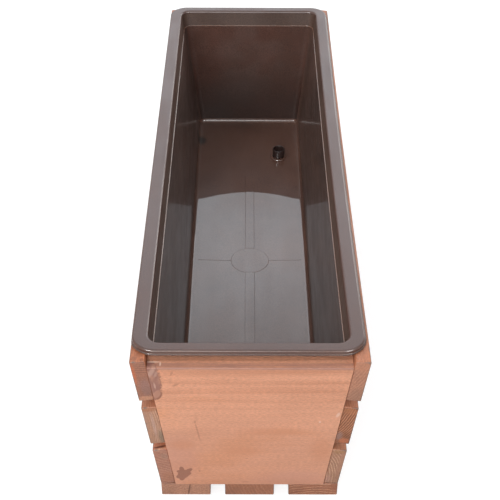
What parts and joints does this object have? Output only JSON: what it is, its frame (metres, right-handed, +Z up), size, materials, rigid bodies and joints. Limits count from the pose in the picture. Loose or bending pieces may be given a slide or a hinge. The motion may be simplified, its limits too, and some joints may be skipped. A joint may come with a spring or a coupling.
{
  "type": "wooden planter",
  "caption": "Oblong slatted wooden planter box with leaning sides and a lift-out dark plastic trough hung in it by its rim.",
  "frame": {"origin": "middle of the underside, on the surface that the planter stands on", "axes": "+Y along the planter's length to the rear end board, +X to its right, +Z up"},
  "size_m": [0.1948, 0.614, 0.1762],
  "materials": {
    "board_wood": "salmon-brown stained softwood, matt",
    "side_slat_wood": "red-brown stained softwood, matt",
    "floor_slat_wood": "red-brown stained softwood, rough sawn",
    "nail_steel": "dull zinc-plated",
    "trough_plastic": "glossy dark brown, moulded",
    "plug_plastic": "dark brown, moulded"
  },
  "bodies": {
    "box": {"front_end_board": "board_wood", "rear_end_board": "board_wood", "left_bottom_slat": "side_slat_wood", "left_middle_slat": "side_slat_wood", "left_top_slat": "side_slat_wood", "right_bottom_slat": "side_slat_wood", "right_middle_slat": "side_slat_wood", "right_top_slat": "side_slat_wood", "left_floor_slat": "floor_slat_wood", "centre_floor_slat": "floor_slat_wood", "right_floor_slat": "floor_slat_wood", "left_bottom_slat_nails": "nail_steel", "left_middle_slat_nails": "nail_steel", "left_top_slat_nails": "nail_steel", "right_bottom_slat_nails": "nail_steel", "right_middle_slat_nails": "nail_steel", "right_top_slat_nails": "nail_steel", "left_floor_slat_nails": "nail_steel", "centre_floor_slat_nails": "nail_steel", "right_floor_slat_nails": "nail_steel"},
    "trough": {"trough": "trough_plastic"},
    "drain_plug": {"drain_plug": "plug_plastic"}
  },
  "joints": [
    {"name": "trough_lift", "type": "slide", "parent": "box", "child": "trough", "axis": [0, 0, 1], "range_m": [0, 0.17]},
    {"name": "plug_pull", "type": "slide", "parent": "trough", "child": "drain_plug", "axis": [0, 0, 1], "range_m": [0, 0.03]}
  ]
}
